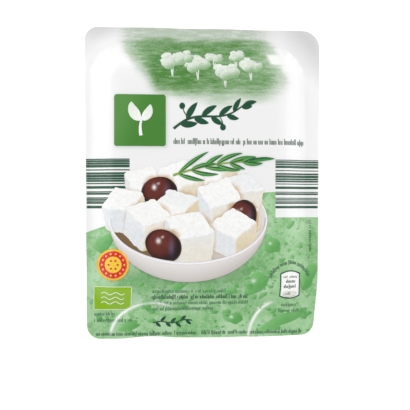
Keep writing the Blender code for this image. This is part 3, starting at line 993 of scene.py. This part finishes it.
def makeHerb():
    # A twig laid over the heap: paired leaves, each with a pale midrib and one darker half
    first = 5 + len(contents)
    stem = wavyPath(herb["start"], herb["end"], herb["sway"], 0.5, 60)
    patches = [ribbon(stem, np.linspace(0.5, 0.3, 60), herb["stem"], first)]
    for i, place in enumerate(herb["pairs"]):
        for side in (-1, 1):
            heading = 11 + side * (29 + 9 * np.cos(2.1 * i + side)) - 2 * i
            length = 14.5 - 1.1 * i + 2.4 * np.sin(1.7 * i + 2 * side)
            bend = -side * (18 + 14 * (i % 2))
            x, y, along, across = leafGrid(stem[place], heading, length, herb["width"], bend)
            shadow = smoothstep(-across * side, -0.1, 0.5)
            tint = blend(herb["lit"], herb["shaded"], np.clip(0.8 * shadow + 0.2 * along, 0, 1))
            rib = 0.8 * np.exp(-(across / 0.18) ** 2) * (1 - along)
            patches.append(patch(x, y, blend(tint, herb["rib"], rib), first + 1 + i % 2))
    x, y, _, across = leafGrid(stem[-1], 14, 12.0, herb["width"], -16)
    tint = blend(herb["lit"], herb["shaded"], smoothstep(across, -0.2, 0.6) + 0 * x)
    patches.append(patch(x, y, tint, first + 1))
    makePrint("print_herb", patches, inkMaterial("leafInk", 0.4, 0.06, 1.1, 0.05))


seal = {"centre": (-40.5, -35.7), "radius": 6.9, "rim": "#F7C11C", "red": "#E0282E", "yellow": "#F9CF3A"}


def makeBadge():
    # A plain round seal: yellow rim, red ring and yellow middle, with a ring of dots in each
    centre, radius, first = np.array(seal["centre"]), seal["radius"], 6 + len(contents)
    rounds = ((radius, "rim"), (0.86 * radius, "red"), (0.52 * radius, "yellow"))
    patches = [disc(centre, size, size, seal[colour], first + level, 6, 64)
               for level, (size, colour) in enumerate(rounds)]
    for size, count, colour, dot in ((0.69, 14, "yellow", 0.42), (0.28, 6, "red", 0.5)):
        for angle in np.arange(count) * 2 * np.pi / count:
            place = centre + radius * size * np.array([np.cos(angle), np.sin(angle)])
            patches.append(disc(place, dot, dot, seal[colour], first + 3, 2, 14))
    makePrint("print_round_badge", patches, inkMaterial("badgeInk", 0.5, 0.05))


limePanel = {
    "centre": (-40.5, -50.45), "size": (15.8, 9.9), "frame": 0.35, "waveSide": 3.0, "waveGap": 2.1,
}


def makeLimePanel():
    # A lime panel in a thin pale line, with three white waves
    centre, size = limePanel["centre"], np.array(limePanel["size"])
    patches = []
    for level, (grow, colour) in enumerate(((limePanel["frame"], "#DDEBC9"), (0.0, "#8CBC0E"))):
        x, y = roundedPanel(size + 2 * grow, (0.15 + grow,) * 4, 0.4, centre, cornerRows=3)
        patches.append(patch(x, y, colour, 1 + level))
    reach = size[0] / 2 - limePanel["waveSide"]
    for up in (-limePanel["waveGap"], 0.0, limePanel["waveGap"]):
        path = wavyPath((centre[0] - reach, centre[1] + up), (centre[0] + reach, centre[1] + up), 0.55, 2)
        patches.append(ribbon(path, 0.18, "#F4F8EA", 3))
    makePrint("print_lime_panel", patches, inkMaterial("limeInk", 0.5, 0.04))


label = {
    "centre": (38.3, -45.2), "half": (5.0, 6.45), "line": 0.55, "bow": 0.2, "lens": (4.1, 3.5, 1.45),
    "rows": ((3.1, 6.6, 1.2, 0.26), (0.9, 5.4, 1.6, 0.4), (-1.4, 6.2, 1.6, 0.4), (-4.6, 3.6, 1.3, 0.3)),
}


def makePill():
    # A white label with bowed ends in a dark line, a grey lens at its foot and rows of ticks
    centre, half = np.array(label["centre"]), label["half"]
    patches = []
    across, up = np.linspace(-1, 1, 15)[None, :], np.linspace(-1, 1, 17)[:, None]
    for level, (inset, colour) in enumerate(((0.0, "#1F4F3A"), (label["line"], "#FDFDFB"))):
        x = centre[0] + (half[0] - inset) * across + 0 * up
        y = centre[1] + (half[1] - inset) * up * (1 - label["bow"] * across ** 2)
        patches.append(patch(x, y, colour, 1 + level))
    drop, *lens = label["lens"]
    patches.append(disc(centre - (0, drop), *lens, "#E2E2D8", 3))
    for seed, (level, length, height, stroke) in enumerate(label["rows"]):
        x, y = tickRow(length, height, stroke, 70 + seed, 0.5 if stroke < 0.3 else 0.62)
        patches.append(patch(centre[0] - length / 2 + x, centre[1] + level + y, "#163F2D", 4))
    makePrint("print_label", patches, inkMaterial("labelInk", 0.5, 0.02))


def blotch(centre, halfWidth, halfHeight, turn, seed, glint=0.0):
    # A flat splash of water on the leaf: an uneven outline, deeper green at its lower right, a soft
    # pale edge above and, on the larger ones, a blurred speck of light
    x, y, share, _ = discGrid(centre, halfWidth, halfHeight, 8, 44, 0.3, seed, turn)
    slope = ((x - centre[0]) - (y - centre[1])) / (halfWidth + halfHeight)
    tint = blend("#7CBE74", "#5FA857", smoothstep(slope, -0.5, 0.5))
    rim = 0.6 * smoothstep(share, 0.75, 1.0) * smoothstep(-slope, 0, 0.5)
    tint = blend(tint, "#A9D5A2", rim)
    if glint:
        speck = np.hypot(x - centre[0] + 0.2 * halfWidth, (y - centre[1] - 0.2 * halfHeight) * 1.3)
        tint = blend(tint, "#EAF5E6", 0.85 * np.exp(-(speck / glint) ** 2))
    return patch(x, y, tint, 0)


def makeDew():
    # Splashes on the green ground: a few large ones, and many small ones at seeded places
    large = (                                  # centre, halves, turn, size of its speck of light
        ((22.6, -44.0), (6.4, 4.2), 0.5, 1.0), ((29.6, -27.4), (4.6, 3.2), -0.6, 0.7),
        ((47.2, -41.5), (6.6, 3.4), 1.35, 0.0), ((34.6, -61.4), (11.4, 2.7), 0.42, 0.0),
        ((13.2, -60.0), (4.0, 2.7), -0.2, 0.8), ((-44.6, -26.4), (4.4, 3.6), 0.4, 0.0),
        ((-33.4, -62.8), (5.4, 1.9), 0.25, 0.0), ((-12.4, -45.6), (3.4, 1.5), 0.1, 0.0),
    )
    patches = [blotch(at, *halves, turn, k, speck) for k, (at, halves, turn, speck) in enumerate(large)]
    draw, count = np.random.default_rng(17), 230
    x, y = draw.uniform((-50, -66), (50, -10), (count, 2)).T
    size = 0.45 + 1.5 * draw.random(count) ** 3
    turn = draw.uniform(-0.9, 0.9, count)
    # none on the bowl, the seal and lime panel, the label, or the bars' end
    clear = ((x - bowl["centre"][0]) / 38) ** 2 + ((y - bowl["centre"][1]) / 29) ** 2 > 1
    for left, right, low, high in ((-50, -31, -58, -27), (31, 46, -53, -37), (30, 54, -16, 0)):
        clear &= ~((x > left) & (x < right) & (y > low) & (y < high))
    clear &= y < greenField["start"] + greenField["slope"] * x + greenField["bend"] * x * x - 3
    for i in np.flatnonzero(clear):
        patches.append(blotch((x[i], y[i]), 1.35 * size[i], 0.8 * size[i], turn[i], 100 + int(i)))
    makePrint("print_dew", patches, inkMaterial("dewInk", 0.6, 0.04, 2.5, 0.05))


def makeMeadowTrees():
    # Pale trees on the meadow, in two loose groups: a forked trunk, and a crown of overlapping lobes,
    # the far ones first, each lit from its upper left and greener towards the crown's foot
    trees = (                                  # foot, trunk, crown half width and half height
        ((-8.8, 50.8), 2.4, 4.4, 3.4), ((13.8, 51.2), 2.2, 4.2, 3.2), ((4.2, 50.0), 2.6, 4.0, 3.2),
        ((-14.6, 46.4), 3.4, 5.4, 4.4), ((-3.4, 45.0), 3.6, 5.6, 4.4), ((20.2, 45.2), 3.0, 5.6, 4.2),
        ((8.8, 41.8), 3.2, 6.0, 4.4),
    )
    draw = np.random.default_rng(80)
    patches = []
    for foot, trunk, halfWidth, halfHeight in trees:
        middle = np.array(foot) + (0.1, trunk + halfHeight * 0.75)
        x, y, share, _ = discGrid((foot[0] + 0.8, foot[1] - 0.1), halfWidth * 0.5, 0.5, 4, 36)
        patches.append(patch(x, y, blend("#6E9F60", "#86AF79", share + 0 * x), 0))
        for sway in (-0.3, 0.25):
            path = wavyPath(foot, middle + (sway * 3, 0), 0.2, 0.5, 12)
            patches.append(ribbon(path, np.linspace(0.34, 0.2, 12), "#DCE7D7", 1))
        lobes = draw.uniform((-0.62, -0.45), (0.62, 0.6), (13, 2))
        for k, lobe in enumerate(lobes[np.argsort(-lobes[:, 1])]):
            centre = middle + lobe * (halfWidth, halfHeight)
            size = draw.uniform(0.34, 0.5) * (halfWidth + halfHeight) / 2
            x, y, share, _ = discGrid(centre, size * 1.15, size * 0.9, 6, 26, 0.16, 300 + k)
            local = ((centre[0] - x) * 0.5 + (y - centre[1]) * 0.9) / size
            whole = (y - middle[1]) / halfHeight - 0.4 * (x - middle[0]) / halfWidth
            tone = smoothstep(0.5 * local + 0.55 * whole, -0.85, 0.75)
            patches.append(patch(x, y, blend("#8CB481", "#E9EFE5", tone), 2 + 0.2 * k))
    makePrint("print_meadow_trees", patches, inkMaterial("meadowInk", 0.5, 0.05, 1.0, 0.10))


makeDew()
makeMeadowTrees()
makeTile()
makeBranch()
makeTextRows()
makeSideBars()
makeBowl()
makeContents()
makeHerb()
makeBadge()
makeLimePanel()
makePill()


studio = {
    "tilt": 8.0, "fieldOfView": 20.0, "aim": (-0.03, -9.73, 20.0), "distance": 511.55,
    "zenith": 0.37, "left": 0.64, "right": 0.84, "front": 0.49, "back": 0.12,    # the room's brightness
    "lights": (                               # name, azimuth, elevation, width, height, brightness
        ("leftGlint", 137, 35, 0.38, 0.50, 2.1), ("rightGlint", 42, 36, 0.20, 0.44, 2.0),
    ),
    "lightDistance": 0.68, "floor": "#FAFAFA", "floorGlow": 0.3,
}


def makeCamera():
    tilt = np.radians(studio["tilt"])
    forward = Vector((np.sin(tilt), 0, -np.cos(tilt)))
    right = Vector((np.cos(tilt), 0, np.sin(tilt)))
    camera = bpy.data.objects.new("camera", bpy.data.cameras.new("camera"))
    camera.data.sensor_width = 36
    camera.data.lens = 18 / np.tan(np.radians(studio["fieldOfView"] / 2))
    place = Vector(studio["aim"]) * mm - forward * studio["distance"] * mm
    turn = Matrix((right, Vector((0, 1, 0)), -forward)).transposed()
    camera.matrix_world = Matrix.Translation(place) @ turn.to_4x4()
    bpy.context.collection.objects.link(camera)
    bpy.context.scene.camera = camera


def softBox(name, azimuth, elevation, width, height, brightness):
    # A rectangle that faces the pack; its power is what gives that radiance over its area
    light = bpy.data.lights.new(name, "AREA")
    light.shape, light.size, light.size_y = "RECTANGLE", width, height
    light.energy = brightness * np.pi * width * height
    lamp = bpy.data.objects.new(name, light)
    turn, rise = np.radians(azimuth), np.radians(elevation)
    away = Vector((np.cos(turn) * np.cos(rise), np.sin(turn) * np.cos(rise), np.sin(rise)))
    lamp.matrix_world = away.to_track_quat("Z", "Y").to_matrix().to_4x4()
    lamp.location = away * studio["lightDistance"]
    bpy.context.collection.objects.link(lamp)


def makeRoom():
    # White room: dim overhead, brighter towards both sides and the front, as between two diffusers
    world = bpy.data.worlds.new("studioRoom")
    bpy.context.scene.world = world
    world.use_nodes = True
    tree = world.node_tree
    axes = addNode(tree, "SeparateXYZ", None, {0: addNode(tree, "TexCoord").outputs["Generated"]})
    total = None
    for value, low, high, glow in (
        (axes.outputs[0], -0.3, -0.72, studio["left"]), (axes.outputs[0], 0.3, 0.72, studio["right"]),
        (axes.outputs[1], -0.25, -0.8, studio["front"]), (axes.outputs[1], 0.25, 0.8, studio["back"]),
    ):
        share = addNode(
            tree, "MapRange",
            {"interpolation_type": "SMOOTHSTEP", "From Min": low, "From Max": high, "To Max": glow},
            {"Value": value},
        ).outputs[0]
        total = share if total is None else addNode(tree, "Math", None, {0: total, 1: share}).outputs[0]
    total = addNode(tree, "Math", {1: studio["zenith"]}, {0: total})
    back = tree.nodes["Background"]
    back.inputs["Color"].default_value = (1, 1, 1, 1)
    tree.links.new(total.outputs[0], back.inputs["Strength"])


def makeStudio():
    makeRoom()
    for light in studio["lights"]:
        softBox(*light)
    mesh = bpy.data.meshes.new("floor")
    mesh.from_pydata([(-3, -3, 0), (3, -3, 0), (3, 3, 0), (-3, 3, 0)], [], [(0, 1, 2, 3)])
    material, tree = newMaterial("matteSweep")
    shader = addNode(tree, "BsdfPrincipled", {
        "Base Color": colourOf(studio["floor"]), "Roughness": 0.9, "Specular IOR Level": 0.2,
        "Emission Color": (1, 1, 1, 1), "Emission Strength": studio["floorGlow"],
    })
    addNode(tree, "OutputMaterial", None, {"Surface": shader.outputs[0]})
    mesh.materials.append(material)
    floor = bpy.data.objects.new("floor", mesh)
    bpy.context.collection.objects.link(floor)
    bpy.context.scene.view_settings.view_transform = "Standard"


makeCamera()
makeStudio()
print("studio ready")
